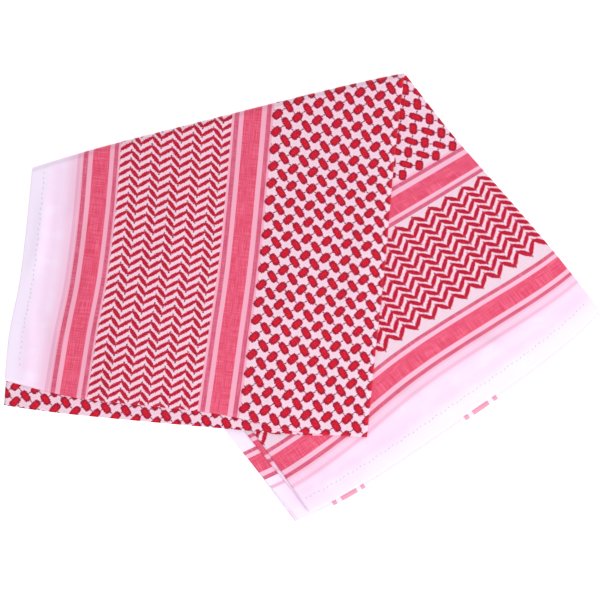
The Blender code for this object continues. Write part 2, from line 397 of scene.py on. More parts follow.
def make_object(name, points, faces, cloth=None, material=None):
    """A smooth mesh object from points in the tables' millimetres, and its places in the cloth."""
    shift_x, shift_y = table_shift()
    mesh = bpy.data.meshes.new(name)
    faces = faces if isinstance(faces, list) else faces.tolist()
    mesh.from_pydata(points * MM + (shift_x, shift_y, 0), [], faces)
    mesh.shade_smooth()
    if cloth is not None:
        corners = np.empty(len(mesh.loops), np.int32)
        mesh.loops.foreach_get("vertex_index", corners)
        layer = mesh.uv_layers.new(name=CLOTH_MAP)
        layer.data.foreach_set("uv", (cloth[corners] * MM).astype(np.float32).ravel())
    mesh.materials.append(material)
    obj = bpy.data.objects.new(name, mesh)
    bpy.context.scene.collection.objects.link(obj)
    return obj


def settle(obj, slot, *nodes):
    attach(obj, "root")
    if nodes:
        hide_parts(*nodes)
    return obj


def cloth_place(place, weave, drawn=None):
    """A point's distances from the west and north hems, mixed from the arm's two edges.

    drawn is how far the weave is pulled towards the arm's end, eased in over a short way down it.
    """

    def across(left, right):
        left, right = along(column(weave, left), place.down), along(column(weave, right), place.down)
        return left + place.across * (right - left)

    u, v = across("left_u", "right_u"), across("left_v", "right_v")
    if drawn is not None:
        eased = smooth_step((place.down - DRAWN_FROM) / DRAWN_OVER)
        v = v + along(drawn, np.clip(place.across, 0, 1)) * eased
    return np.stack([u, v], axis=-1)


def flat_cut(cloth):
    """The size and area, in metres, of the stretch of flat cloth that a grid covers.

    The size is the rectangle round it. The area sums half the cross product of each quad's diagonals.
    """
    first, second = cloth[1:, 1:] - cloth[:-1, :-1], cloth[1:, :-1] - cloth[:-1, 1:]
    quads = np.abs(first[..., 0] * second[..., 1] - first[..., 1] * second[..., 0]) / 2
    width, length = np.ptp(cloth.reshape(-1, 2), axis=0) * MM
    return (float(width), float(length)), float(quads.sum()) * MM**2


def shell(name, material, sizes, arm, edges, height, weave, rest=on_ground, drawn=None, **layout):
    """One wall of cloth and its flat cut: the upper surface on a grid, thickened downwards."""
    place = lay_out(arm, edges, grid=sizes.grid / MM, **layout)
    z = rolled(place, rest(place) + height(place), rest(place), edges)
    points = np.stack([place.x, place.y, z], axis=-1).reshape(-1, 3)
    cloth = cloth_place(place, weave, drawn)
    obj = make_object(name, points, grid_quads(*place.x.shape), cloth.reshape(-1, 2), material)
    wall = obj.modifiers.new("wall", "SOLIDIFY")
    wall.thickness = sizes.wall
    wall.offset = -1
    wall.use_even_offset = True
    return obj, flat_cut(cloth)


# ---------------- the arms


def left_arm_edges():
    hem_drop = (STEP + GAP) / (LEFT_STACK + STEP)
    end_drop = 1 - (STEP + GAP) / LEFT_STACK
    return Edges(
        left=Edge(0, HEM_TURN, hem_drop),
        right=Edge(0, FOLD_RADIUS),
        top=Edge(0, CREASE_RADIUS),
        bottom=Edge(0, END_RADIUS, end_drop),
    )


def left_arm_top(place, depth=1.0):
    return LEFT_STACK + over_hem(place.from_left) + depth * creased(place, LEFT_ARM, LEFT_CREASES)


def right_arm_top(place, depth=1.0):
    return (
        PLY + 2 * STEP + over_hem(place.from_left) + over_hem(place.from_end - NORTH_STEP_MIDDLE)
        + depth * creased(place, RIGHT_ARM, RIGHT_CREASES)
    )


def make_left_arm(materials, sizes):
    """The middle third below, the hidden layers, then the west third, which rolls over the crease."""
    middle = shell(
        "left_arm_middle_cloth", materials.patterned, sizes, LEFT_ARM,
        Edges(Edge(1), Edge(FOLD_RADIUS + 2 * GAP), Edge(INSIDE_MIDDLE), THIN_END),
        lambda place: PLY,
        LEFT_ARM_MIDDLE,
        rest=left_arm_rest,
    )
    settle(middle[0], "patterned_cotton", "left_arm_middle_third")
    hidden = make_hidden_layers(materials.patterned)
    hem = shell(
        "left_arm_hem_cloth", materials.plain, sizes, LEFT_ARM,
        Edges(Edge(HEM_TURN), Edge(), Edge(INSIDE_HIGH), Edge(END_RADIUS + 1)),
        lambda place: LEFT_STACK,
        LEFT_ARM_WEST,
        rest=left_arm_rest, end_steps=WEST_THIRD_STOPS, hem_side="left",
    )
    settle(hem[0], "hem_cotton", "left_arm_west_hem")
    west = shell(
        "left_arm_west_cloth", materials.patterned, sizes, LEFT_ARM, left_arm_edges(),
        lambda place: left_arm_top(place, sizes.crease_depth),
        LEFT_ARM_WEST,
        rest=left_arm_rest, end_steps=WEST_THIRD_STOPS,
    )
    settle(west[0], "patterned_cotton", "left_arm_west_third")


def make_hidden_layers(material):
    """Hidden layers as one solid: rings up the side, each layer a lip, and a grid above and below."""
    rings = [Ring(0, GROOVE_DEPTH)]
    for layer in range(HIDDEN_LAYERS):
        rings += [
            Ring(layer * HIDDEN_PLY + LIP_HEIGHT, 0),
            Ring((layer + 1) * HIDDEN_PLY - LIP_HEIGHT, 0),
            Ring((layer + 1) * HIDDEN_PLY, GROOVE_DEPTH),
        ]
    insets = (HIDDEN_INSET, FOLD_RADIUS + 2 * GAP, INSIDE_HIGH, END_RADIUS + 1)
    grids, cloths = [], []
    for ring in rings:
        edges = Edges(*(Edge(inset + ring.inset) for inset in insets))
        place = lay_out(LEFT_ARM, edges, end_steps=WEST_THIRD_STOPS)
        grids.append(np.stack([place.x, place.y, left_arm_rest(place) + STEP + ring.height], axis=-1))
        cloths.append(cloth_place(place, LEFT_ARM_WEST))
    rows, count = grids[0].shape[:2]
    index = np.arange(rows * count).reshape(rows, count)
    rim = np.concatenate([index[:-1, 0], index[-1, :-1], index[:0:-1, -1], index[0, :0:-1]])

    def gathered(parts):
        flat = [part.reshape(-1, part.shape[-1]) for part in parts]
        return np.concatenate([flat[0], flat[-1], *(part[rim] for part in flat[1:-1])])

    middle = 2 * index.size + np.arange((len(rings) - 2) * rim.size).reshape(-1, rim.size)
    loops = np.vstack([rim, middle, rim + index.size])
    following = np.roll(loops, -1, axis=1)
    side = np.stack([loops[:-1], following[:-1], following[1:], loops[1:]], axis=-1).reshape(-1, 4)
    cap = grid_quads(rows, count)
    faces = np.concatenate([cap[:, ::-1], cap + index.size, side])
    obj = make_object("left_arm_hidden_cloth", gathered(grids), faces, gathered(cloths), material)
    return settle(obj, "patterned_cotton", "left_arm_hidden_layers")


def make_right_arm(materials, sizes):
    """Three layers on the ground: west third, east third, then the middle third on top."""
    inside = Edge(INSIDE_LOW)
    middle_steps = column(RIGHT_ARM_STEPS, "middle_third")
    west_hem = shell(
        "right_arm_west_hem_cloth", materials.plain, sizes, RIGHT_ARM,
        Edges(Edge(HEM_TURN), Edge(), inside, Edge(1)),
        lambda place: PLY,
        RIGHT_ARM_WEST,
        hem_side="left",
    )
    settle(west_hem[0], "hem_cotton", "right_arm_west_hem")
    west = shell(
        "right_arm_west_cloth", materials.patterned, sizes, RIGHT_ARM,
        Edges(Edge(0, HEM_TURN, 0.5), inside, inside, Edge()),
        lambda place: PLY + over_hem(place.from_left),
        RIGHT_ARM_WEST,
        left_steps=column(RIGHT_ARM_STEPS, "west_third"),
    )
    settle(west[0], "patterned_cotton", "right_arm_west_third")
    east = shell(
        "right_arm_east_cloth", materials.patterned, sizes, RIGHT_ARM,
        Edges(Edge(), inside, inside, Edge(NORTH_STEP_EAST)),
        lambda place: PLY + STEP + over_hem(place.from_left),
        RIGHT_ARM_EAST,
        left_steps=column(RIGHT_ARM_STEPS, "east_third"),
    )
    settle(east[0], "patterned_cotton", "right_arm_east_third")
    north_hem = shell(
        "right_arm_north_hem_cloth", materials.plain, sizes, RIGHT_ARM,
        Edges(Edge(1), Edge(INSIDE_HIGH), Edge(), Edge(NORTH_STEP_MIDDLE + HEM_TURN)),
        lambda place: PLY + 2 * STEP + over_hem(place.from_left),
        RIGHT_ARM_MIDDLE,
        left_steps=middle_steps, hem_side="bottom",
    )
    settle(north_hem[0], "hem_cotton", "right_arm_north_hem")
    middle = shell(
        "right_arm_middle_cloth", materials.patterned, sizes, RIGHT_ARM,
        Edges(Edge(), Edge(0, FOLD_RADIUS), inside, Edge(NORTH_STEP_MIDDLE, HEM_TURN, 0.2)),
        lambda place: right_arm_top(place, sizes.crease_depth),
        RIGHT_ARM_MIDDLE,
        drawn=NORTH_DRAWN, left_steps=middle_steps,
    )
    settle(middle[0], "patterned_cotton", "right_arm_middle_third")


def capsules(name, place, heights, tangents, sizes, material):
    """Stitches as one mesh: at each place a thread that dips into the cloth at both its ends.

    A stitch is a tube of three rings and two poles. Its middle stands on the cloth, and its ends sink
    into it. Its rings narrow like a cosine from the middle to the ends.
    """
    sides = STITCH_SIDES
    turn = np.arange(sides) * 2 * np.pi / sides
    shares = np.array(STITCH_RINGS)
    centres = np.stack([place.x, place.y, heights], axis=-1)
    thick, long = sizes.thread / MM, sizes.stitch_length / MM
    side_ways = np.stack([-tangents[:, 1], tangents[:, 0]], axis=-1)
    profile = thick / 2 * np.cos(shares * np.pi * STITCH_NARROWING)
    sink = thick * RING_SINK * (shares / shares[-1]) ** 2
    rings = np.zeros((len(centres), len(shares), sides, 3))
    rings[..., :2] = (
        centres[:, None, None, :2]
        + tangents[:, None, None, :] * (shares * long)[None, :, None, None]
        + side_ways[:, None, None, :] * (profile[:, None] * np.cos(turn))[None, ..., None]
    )
    lift = thick * STITCH_RISE - sink[:, None] + profile[:, None] * np.sin(turn)
    rings[..., 2] = centres[:, None, None, 2] + lift
    poles = np.zeros((len(centres), 2, 3))
    ends = np.array([-0.5, 0.5]) * long
    poles[..., :2] = centres[:, None, :2] + tangents[:, None, :] * ends[None, :, None]
    poles[..., 2] = centres[:, None, 2] - thick * POLE_SINK
    points = np.concatenate([rings.reshape(len(centres), -1, 3), poles], axis=1)
    base = np.arange(len(centres))[:, None] * points.shape[1]
    here = np.arange(sides)
    following = (here + 1) % sides
    ring = np.stack([here, here + sides, following + sides, following], axis=-1)
    quads = np.concatenate([ring + k * sides for k in range(len(shares) - 1)])
    first_pole, last_ring = len(shares) * sides, (len(shares) - 1) * sides
    caps = np.concatenate([
        np.stack([here, following, 0 * here + first_pole], axis=-1),
        np.stack([following + last_ring, here + last_ring, 0 * here + first_pole + 1], axis=-1),
    ])
    faces = [
        *(base[:, :, None] + quads[None]).reshape(-1, 4).tolist(),
        *(base[:, :, None] + caps[None]).reshape(-1, 3).tolist(),
    ]
    return settle(make_object(name, points.reshape(-1, 3), faces, material=material), "hem_cotton")


def stitch_line(arm, sizes, start, end):
    """Places of stitches from start to end, both (across, down) distances, and the way they point."""
    count = round(math.dist(start, end) / (sizes.stitch_spacing / MM))
    shares = (np.arange(count) + 0.5) / count
    wander = STITCH_WANDER * np.sin(shares * count * STITCH_WANDER_TURN)
    across = start[0] + shares * (end[0] - start[0])
    down = start[1] + shares * (end[1] - start[1])
    along_hem = np.array(end, float) - start
    along_hem /= math.hypot(*along_hem)
    place = spots(arm, across - wander * along_hem[1], down + wander * along_hem[0])
    ahead = spots(arm, across + along_hem[0], down + along_hem[1])
    run = np.stack([ahead.x - place.x, ahead.y - place.y], axis=-1)
    slant = math.radians(STITCH_SLANT)
    run = run / np.linalg.norm(run, axis=1)[:, None]
    turned = run @ np.array([[math.cos(slant), math.sin(slant)], [-math.sin(slant), math.cos(slant)]])
    return place, turned


def make_stitches(material, sizes):
    """One line of stitches along each hem that shows, on the cloth over the hem's inner edge."""
    inset = HEM_WIDTH - STITCH_FROM_HEM
    last = arm_length(LEFT_ARM, 0) - WEST_THIRD_STOPS[0] - STITCH_STOP
    place, run = stitch_line(LEFT_ARM, sizes, (inset, CREASE_RADIUS + 2), (inset, last))
    height = left_arm_rest(place) + left_arm_top(place, sizes.crease_depth)
    capsules("west_hem_stitches", place, height, run, sizes, material)
    margin = NORTH_STEP_MIDDLE + inset
    first = RIGHT_ARM_STEPS[-1].middle_third + FOLD_RADIUS
    last = arm_span(RIGHT_ARM, 1.0) - STITCH_STOP
    across = [share / arm_span(RIGHT_ARM, 1.0) for share in (first, last)]
    place, run = stitch_line(
        RIGHT_ARM, sizes,
        (first, arm_length(RIGHT_ARM, across[0]) - margin), (last, arm_length(RIGHT_ARM, across[1]) - margin),
    )
    capsules("north_hem_stitches", place, right_arm_top(place, sizes.crease_depth), run, sizes, material)


# ---------------- materials


def tint(red, green, blue):
    """A colour's linear values from its usual 0 to 255 ones."""
    shares = np.array([red, green, blue]) / 255
    return tuple(float(s / 12.92 if s < 0.04045 else ((s + 0.055) / 1.055) ** 2.4) for s in shares)


class Field:
    """A number that varies over a surface: a socket whose operators add Math nodes."""

    def __init__(self, tree, socket):
        self.tree, self.socket = tree, socket

    def math(self, operation, *values):
        node = self.tree.add("ShaderNodeMath", {"operation": operation}, values)
        return Field(self.tree, node.outputs[0])

    def __add__(self, other):
        return self.math("ADD", self, other)

    def __sub__(self, other):
        return self.math("SUBTRACT", self, other)

    def __rsub__(self, other):
        return self.math("SUBTRACT", other, self)

    def __mul__(self, other):
        return self.math("MULTIPLY", self, other)

    def __truediv__(self, other):
        return self.math("DIVIDE", self, other)

    def __mod__(self, other):
        return self.math("FLOORED_MODULO", self, other)

    def __pow__(self, other):
        return self.math("POWER", self, other)

    def __abs__(self):
        return self.math("ABSOLUTE", self)

    __radd__ = __add__
    __rmul__ = __mul__

    def least(self, other):
        return self.math("MINIMUM", self, other)

    def most(self, other):
        return self.math("MAXIMUM", self, other)

    def rise(self, low, high):
        """0 below low, 1 above high, and a smooth step between them."""
        node = self.tree.add(
            "ShaderNodeMapRange",
            {"interpolation_type": "SMOOTHSTEP"},
            {"Value": self, "From Min": low, "From Max": high},
        )
        return Field(self.tree, node.outputs["Result"])


class Tree:
    """A material's nodes, with one method that adds any node."""

    def __init__(self, name):
        self.material = bpy.data.materials.new(name)
        self.material.use_nodes = True
        self.nodes = self.material.node_tree.nodes
        self.links = self.material.node_tree.links
        self.shader = self.nodes["Principled BSDF"]

    def add(self, kind, settings=(), inputs=()):
        """Adds a node: its settings first, then its inputs, by name or in order, as values or links."""
        node = self.nodes.new(kind)
        for name, value in dict(settings).items():
            setattr(node, name, value)
        named = inputs.items() if isinstance(inputs, dict) else enumerate(inputs)
        for key, value in named:
            self.put(node.inputs[key], value)
        return node

    def put(self, socket, value):
        value = value.socket if isinstance(value, Field) else value
        if isinstance(value, bpy.types.NodeSocket):
            self.links.new(value, socket)
        elif isinstance(value, tuple) and len(value) == 3 and socket.type == "RGBA":
            socket.default_value = (*value, 1)
        else:
            socket.default_value = value

    def mix(self, factor, first, second):
        """Two colours mixed by a factor."""
        node = self.add("ShaderNodeMix", {"data_type": "RGBA"})
        self.put(node.inputs["Factor"], factor)
        self.put(node.inputs[6], first)
        self.put(node.inputs[7], second)
        return node.outputs[2]

    def cloth(self):
        """Distances from the west and north hems, in millimetres."""
        uv = self.add("ShaderNodeUVMap", {"uv_map": CLOTH_MAP})
        parts = self.add("ShaderNodeSeparateXYZ", inputs=(uv.outputs[0],))
        return Field(self, parts.outputs[0]) * 1000, Field(self, parts.outputs[1]) * 1000

    def noise(self, u, v, scale_u, scale_v, detail=2.0):
        """Noise from 0 to 1, with its own scale along each direction of the cloth, per millimetre."""
        where = self.add("ShaderNodeCombineXYZ", inputs=(u * scale_u, v * scale_v))
        node = self.add(
            "ShaderNodeTexNoise", {"noise_dimensions": "2D"},
            {"Vector": where.outputs[0], "Scale": 1.0, "Detail": detail},
        )
        return Field(self, node.outputs["Fac"])


# The pattern, in millimetres of the flat cloth
PERIOD = 20.5  # width of one zigzag and of one houndstooth cell
ROW = 8.9  # height of one zigzag row
CELL = 2 * ROW
PEAK = 0.555  # where along a zigzag its peak stands
CLIMB = 0.88 * ROW
ZIGZAG_START = 89.4
NORTH_ZIGZAG_START = 83.4
ZIGZAG_ROW = 0.7
HOOK_START = 256.7
HOOK_ROW = 2.8
STROKE_HALF = 1.05  # half the thickness of a zigzag's stroke at its ends
LENS_HALF = 1.4  # what a lens adds to it halfway up
FALLING_HALF = 0.7  # what the falling strokes' lenses add to that
SWELL_HALF = 0.3
TICK_UP = 3.1
TICK_DOWN = 3.2
STRAY_U = 2.2  # how far the motifs' edges stray
STRAY_V = 2.6
THREAD = 0.9  # spacing of the threads that show as relief
DOT = 1.8  # spacing of the dots along a floating thread

# The two blobs of a houndstooth cell: where one stands, its turn in degrees, its size, and how many
# times its size the pink round it is
Blob = namedtuple("Blob", "u v turn long wide halo")
BACK_BLOB = Blob(HOOK_START, HOOK_ROW, 52, 13.9, 7.7, 1.65)
FORE_BLOB = Blob(HOOK_START + PERIOD / 2, HOOK_ROW - 0.45 * CELL, -50, 12.6, 8.3, 1.6)
BLOB_POWER = 3.4  # 2 would make an ellipse, and more a squarer blob

# Bands, as distances from the nearest hem: the west and east ones, then the north and south ones.
# deep and banded are where the margin turns pinker, and where the ground between stripes begins.
Stripe = namedtuple("Stripe", "start end")
Border = namedtuple("Border", "deep banded faint narrow wide zigzag field")
SIDE_BORDER = Border(
    deep=Stripe(33, 45),
    banded=Stripe(49.5, 51.5),
    faint=[Stripe(46.3, 50)],
    narrow=[Stripe(52.5, 57.1), Stripe(83.4, 87.6), Stripe(202.9, 207.6), Stripe(235.5, 240.1)],
    wide=[Stripe(61.9, 79), Stripe(212.3, 230.4)],
    zigzag=Stripe(89.5, 200.5),
    field=243,
)
END_BORDER = Border(
    deep=Stripe(41, 48),
    banded=Stripe(53, 56),
    faint=[Stripe(45.5, 49)],
    narrow=[Stripe(56.9, 60.9), Stripe(87.9, 91.6), Stripe(201, 205.2), Stripe(234, 238.2)],
    wide=[Stripe(65.7, 83.6), Stripe(209.3, 228.6)],
    zigzag=Stripe(103, 198.5),
    field=241.5,
)
# A point's place in the cloth: its distances from the west and north hems, from the nearer side hem
# and the nearer end hem, and from the nearest of all, and 1 where that one is an end hem
ClothPlace = namedtuple("ClothPlace", "u v depth_u depth_v depth north")


def wrapped(x, period):
    """Signed distance to the nearest multiple of the period."""
    return (x + period / 2) % period - period / 2


def band(x, start, end, blur=0.5):
    return x.rise(start - blur, start + blur) * (1 - x.rise(end - blur, end + blur))


def stripes(x, rows):
    return sum(band(x, row.start, row.end) for row in rows)


def zigzag(u, v, start, swell):
    """Strokes, ticks and ground streaks of the zigzag, and the place of each row.

    Rows are shifted by a leaning tent wave. A stroke is thickest halfway up, where it is a lens, and
    the falling strokes are thicker. Ticks stand on the peaks and hang from the valleys. swell, from 0
    to 1, thickens every stroke.
    """
    share = ((u - start) / PERIOD) % 1
    height = (share / PEAK).least((1 - share) / (1 - PEAK))
    steep = share.rise(PEAK - 0.005, PEAK + 0.005)
    lift = height * CLIMB
    off = wrapped(v - ZIGZAG_ROW + lift, ROW)
    row = v + lift - off
    lens = (height * (1 - height) * 4) ** 0.6
    half = lens * (steep * FALLING_HALF + LENS_HALF) + swell * SWELL_HALF + STROKE_HALF
    stroke = 1 - abs(off).rise(half - 0.4, half + 0.4)
    at_peak = 1 - (abs(share - PEAK) * PERIOD).rise(0.5, 1.1)
    at_valley = 1 - abs(wrapped(share * PERIOD, PERIOD)).rise(0.5, 1.1)
    tick = at_peak * band(off, -TICK_UP, 0) + at_valley * band(off, 0, TICK_DOWN)
    streak = abs(off).rise(3.0, 4.3)
    return stroke, tick, streak, row


def hook(u, v, blob):
    """One houndstooth blob per cell, as a turned, rounded box that ends at 1, and its centre."""
    p, q = wrapped(u - blob.u, PERIOD), wrapped(v - blob.v, CELL)
    c, s = math.cos(math.radians(blob.turn)), math.sin(math.radians(blob.turn))
    a, b = p * c + q * s, q * c - p * s
    powers = (abs(a) / (blob.long / 2)) ** BLOB_POWER + (abs(b) / (blob.wide / 2)) ** BLOB_POWER
    return powers ** (1 / BLOB_POWER), u - p, v - q


def floats(u, v):
    """Dotted floating threads: two families of slanting lines through the houndstooth blobs."""
    slope = CELL / PERIOD
    x, y = u - HOOK_START, v - HOOK_ROW
    falling = 1 - abs(wrapped(y - x * slope, CELL)).rise(0.5, 1.3)
    climbing = 1 - abs(wrapped(y + x * slope, CELL)).rise(0.5, 1.3)
    dots = abs(wrapped(y, DOT)).rise(DOT * 0.05, DOT * 0.25)
    return falling.most(climbing) * dots


def from_hem(x):
    """Distance from the nearer of two opposite hems."""
    return x.least(SIDE - x)


def past(depth_u, depth_v, at_side, at_end, blur):
    """1 where a depth from the sides and one from the ends are both past their places."""
    return depth_u.rise(at_side - blur, at_side + blur) * depth_v.rise(at_end - blur, at_end + blur)


def zigzag_band(u, v, place):
    """The band's mask, strokes, ticks and ground streaks. A row is drawn whole or not at all."""
    start = place.north * (NORTH_ZIGZAG_START - ZIGZAG_START) + ZIGZAG_START
    stroke, tick, streak, row = zigzag(u, v, start, place.north)
    row_depth = from_hem(row)
    side, end = SIDE_BORDER.zigzag, END_BORDER.zigzag
    inside = past(place.depth_u, row_depth, side.start, end.start, 0.3)
    return inside * (1 - past(place.depth_u, row_depth, side.end, end.end, 0.3)), stroke, tick, streak


def houndstooth(u, v):
    """Blobs, their bright cores and the ground near them. A blob is drawn whole or not at all."""
    found = []
    for blob in (BACK_BLOB, FORE_BLOB):
        size, centre_u, centre_v = hook(u, v, blob)
        shown = past(from_hem(centre_u), from_hem(centre_v), SIDE_BORDER.field, END_BORDER.field, 0.5)
        whole, core = shown * (1 - size.rise(0.88, 1.06)), shown * (1 - size.rise(0.45, 0.88))
        found.append((whole, core, 1 - size.rise(1.1, blob.halo)))
    return [back.most(fore) for back, fore in zip(*found)]


def margin_colour(tree, place, colours):
    """Near-white by the hems, pinker towards the stripes, then the ground between the stripes."""
    colour = tree.mix(place.depth.rise(6, 30), colours.margin, colours.margin_shade)
    # Soft paler patches: partly tone that varies at random, partly painted shade of soft wrinkles in the
    # margins
    cloud = tree.noise(place.u, place.v, 0.03, 0.05).rise(0.45, 0.75)
    colour = tree.mix(cloud * 0.5, colour, colours.margin)
    deep = place.depth_u.rise(*SIDE_BORDER.deep).least(place.depth_v.rise(*END_BORDER.deep))
    colour = tree.mix(deep, colour, colours.margin_deep)
    banded = place.depth_u.rise(*SIDE_BORDER.banded).least(place.depth_v.rise(*END_BORDER.banded))
    outer, inner = END_BORDER.narrow[:2]
    banded = banded.most(band(place.depth_v, outer.start, inner.end) * 0.7)
    return tree.mix(banded, colour, tree.mix(place.north * 0.45, colours.pale, colours.margin_deep))


def with_stripes(tree, place, colours, colour, threads):
    """Faint, wide and narrow stripes over a colour, on the sides and at the ends."""

    def stripes_of(name):
        side, end = getattr(SIDE_BORDER, name), getattr(END_BORDER, name)
        return stripes(place.depth_u, side).most(stripes(place.depth_v, end))

    faint = stripes_of("faint") * place.depth_v.rise(10, 40)  # it fades out towards the ends
    colour = tree.mix(faint * (0.8 - place.north * 0.25), colour, colours.faint_stripe)
    wide = tree.mix(threads, colours.wide_stripe, colours.wide_stripe_light)
    narrow = tree.mix(threads, colours.narrow_stripe, colours.narrow_stripe_light)
    return tree.mix(stripes_of("narrow"), tree.mix(stripes_of("wide"), colour, wide), narrow)


def make_patterned_cotton(name, colours):
    """The whole woven pattern, read from a point's place in the flat cloth."""
    tree = Tree(name)
    u, v = tree.cloth()
    depth_u, depth_v = from_hem(u), from_hem(v)
    north = (depth_u - depth_v).rise(-0.5, 0.5)
    place = ClothPlace(u, v, depth_u, depth_v, depth_u.least(depth_v), north)
    ragged_u = u + (tree.noise(u, v, 1.0, 1.0, 1.0) - 0.5) * STRAY_U
    ragged_v = v + (tree.noise(v, u, 0.9, 1.1, 1.0) - 0.5) * STRAY_V
    in_zigzag, stroke, tick, streak = zigzag_band(ragged_u, ragged_v, place)
    blob, core, near = houndstooth(ragged_u, ragged_v)
    panel = band(place.depth, *SIDE_BORDER.zigzag)
    side, end = SIDE_BORDER.field, END_BORDER.field
    field = depth_u.rise(side - 1, side) * depth_v.rise(end - 1, end)
    woven = panel.most(field)
    lengthwise = tree.noise(u, v, 1.6, 0.05)  # threads that run along the sides
    crosswise = tree.noise(u, v, 0.05, 1.6)
    threads = (lengthwise * 0.55 + crosswise * 0.45).rise(0.42, 0.62)
    fleck = tree.noise(u, v, 0.9, 0.9, 1.0).rise(0.40, 0.60)

    colour = margin_colour(tree, place, colours)
    colour = tree.mix(woven, colour, colours.ground)
    colour = tree.mix(panel * (1 - in_zigzag * (1 - streak)) * 0.65, colour, colours.lilac)
    colour = tree.mix(field * (1 - near), colour, colours.lilac)
    colour = tree.mix(fleck * woven * 0.5, colour, colours.cream)
    colour = with_stripes(tree, place, colours, colour, threads)
    colour = tree.mix(in_zigzag * stroke, colour, tree.mix(fleck, colours.stroke, colours.stroke_light))
    colour = tree.mix(in_zigzag * tick * (1 - stroke), colour, colours.dark)
    colour = tree.mix(field * floats(u, v) * (1 - blob), colour, colours.dark)
    colour = tree.mix(blob, colour, colours.hook_edge)
    colour = tree.mix(core, colour, tree.mix(fleck, colours.hook, colours.hook_light))
    # Painted light: the cloth is washed paler towards the end hems, a haze of light painted into the colour
    colour = tree.mix((1 - depth_v.rise(5, 25)) * 0.35, colour, colours.margin)  # paler at the ends

    weave = abs(wrapped(u, THREAD)) + abs(wrapped(v, THREAD))
    raised = blob * 0.5 + in_zigzag * stroke * 0.5 + weave * 0.35 + (lengthwise + crosswise) * 0.3
    finish_cotton(tree, colour, raised)
    return tree.material


def finish_cotton(tree, colour, raised):
    """Colour, thread relief, and the constants of soft cotton."""
    bump = tree.add("ShaderNodeBump", inputs={"Strength": 0.35, "Distance": 0.0004, "Height": raised})
    tree.put(tree.shader.inputs["Base Color"], colour)
    tree.put(tree.shader.inputs["Normal"], bump.outputs[0])
    tree.put(tree.shader.inputs["Roughness"], 0.9)
    tree.put(tree.shader.inputs["Specular IOR Level"], 0.15)
    tree.put(tree.shader.inputs["Sheen Weight"], 0.12)
    tree.put(tree.shader.inputs["Sheen Roughness"], 0.5)


def make_plain_cotton(name, colours):
    """White cotton of the turned hems, with its threads."""
    tree = Tree(name)
    u, v = tree.cloth()
    cloud = tree.noise(u, v, 0.06, 0.06, 3.0).rise(0.3, 0.7)
    weave = abs(wrapped(u, THREAD)) + abs(wrapped(v, THREAD))
    finish_cotton(tree, tree.mix(cloud, colours.margin, colours.margin_shade), weave * 0.35)
    return tree.material


def make_sewing_thread(name, colours):
    """Grey-lilac sewing thread, twisted: its plies are bands across the thread."""
    tree = Tree(name)
    where = tree.add("ShaderNodeTexCoord")
    parts = tree.add("ShaderNodeSeparateXYZ", inputs=(where.outputs["Object"],))
    x, y = Field(tree, parts.outputs[0]) * 1000, Field(tree, parts.outputs[1]) * 1000
    ply = abs(wrapped(x + y, 0.5)) * 4
    finish_cotton(tree, tree.mix(ply, colours.thread, colours.thread_light), ply)
    return tree.material


# ---------------- settings


def colour_property(name, description, default):
    return bpy.props.FloatVectorProperty(
        name=name, description=description, default=default, size=3, subtype="COLOR", min=0, max=1
    )


def size_property(name, description, default):
    return bpy.props.FloatProperty(
        name=name, description=description, default=default, min=0.0001, precision=5,
        subtype="DISTANCE", unit="LENGTH",
    )


class HeadscarfColours(bpy.types.PropertyGroup):
    margin: colour_property("Margin", "Near-white cotton along the hems", tint(247, 233, 253))
    margin_shade: colour_property("Margin, inside", "Lilac-pink cotton of the margins", tint(246, 218, 243))
    margin_deep: colour_property("Margin, by the stripes", "Pinker cotton", tint(243, 202, 227))
    ground: colour_property("Ground", "Pink ground of the patterned part", tint(252, 196, 221))
    lilac: colour_property("Lilac", "Grey-lilac of the ground between motifs", tint(212, 202, 222))
    cream: colour_property("Cream", "Warm flecks of the ground", tint(250, 222, 218))
    pale: colour_property("Pale stripe", "Ground between the stripes", tint(241, 170, 194))
    faint_stripe: colour_property("Faint stripe", "The outermost, faint stripe", tint(233, 168, 197))
    wide_stripe: colour_property("Wide stripe", "Wide stripes", tint(218, 70, 102))
    wide_stripe_light: colour_property("Wide stripe, light", "Lighter threads of it", tint(238, 108, 138))
    narrow_stripe: colour_property("Narrow stripe", "Narrow stripes", tint(206, 80, 112))
    narrow_stripe_light: colour_property("Narrow stripe, light", "Lighter threads", tint(224, 116, 146))
    stroke: colour_property("Zigzag", "Zigzag strokes", tint(160, 14, 50))
    stroke_light: colour_property("Zigzag, light", "Lighter threads of the zigzag", tint(206, 34, 62))
    hook: colour_property("Houndstooth", "Houndstooth motifs", tint(188, 8, 28))
    hook_light: colour_property("Houndstooth, light", "Their lighter threads", tint(222, 34, 58))
    hook_edge: colour_property("Houndstooth edge", "Their darker edges", tint(138, 14, 56))
    dark: colour_property("Dark threads", "Small dark floats between the motifs", tint(88, 14, 52))
    thread: colour_property("Sewing thread", "Thread of the hems", tint(212, 204, 230))
    thread_light: colour_property("Sewing thread, light", "Its lighter plies", tint(240, 234, 248))


class HeadscarfSizes(bpy.types.PropertyGroup):
    wall: size_property("Cloth thickness", "Thickness of the cloth that shows", 0.0008)
    grid: size_property("Grid spacing", "Spacing of the cloth's grid lines", GRID * MM)
    stitch_spacing: size_property("Stitch spacing", "Distance from one stitch to the next", 0.0051)
    stitch_length: size_property("Stitch length", "Length of one stitch", 0.0037)
    thread: size_property("Thread thickness", "Thickness of the sewing thread", 0.0009)
    crease_depth: bpy.props.FloatProperty(
        name="Crease depth", description="How strongly the cloth is creased", default=1.8, min=0, max=2,
        subtype="FACTOR",
    )


class HeadscarfStage(bpy.types.PropertyGroup):
    floor_size: bpy.props.FloatProperty(
        name="Floor size", description="Side of the floor", default=6.0, min=1,
        subtype="DISTANCE", unit="LENGTH",
    )
    view_width: bpy.props.FloatProperty(
        name="View width", description="Width of floor that the camera sees", default=0.6, min=0.1,
        subtype="DISTANCE", unit="LENGTH",
    )


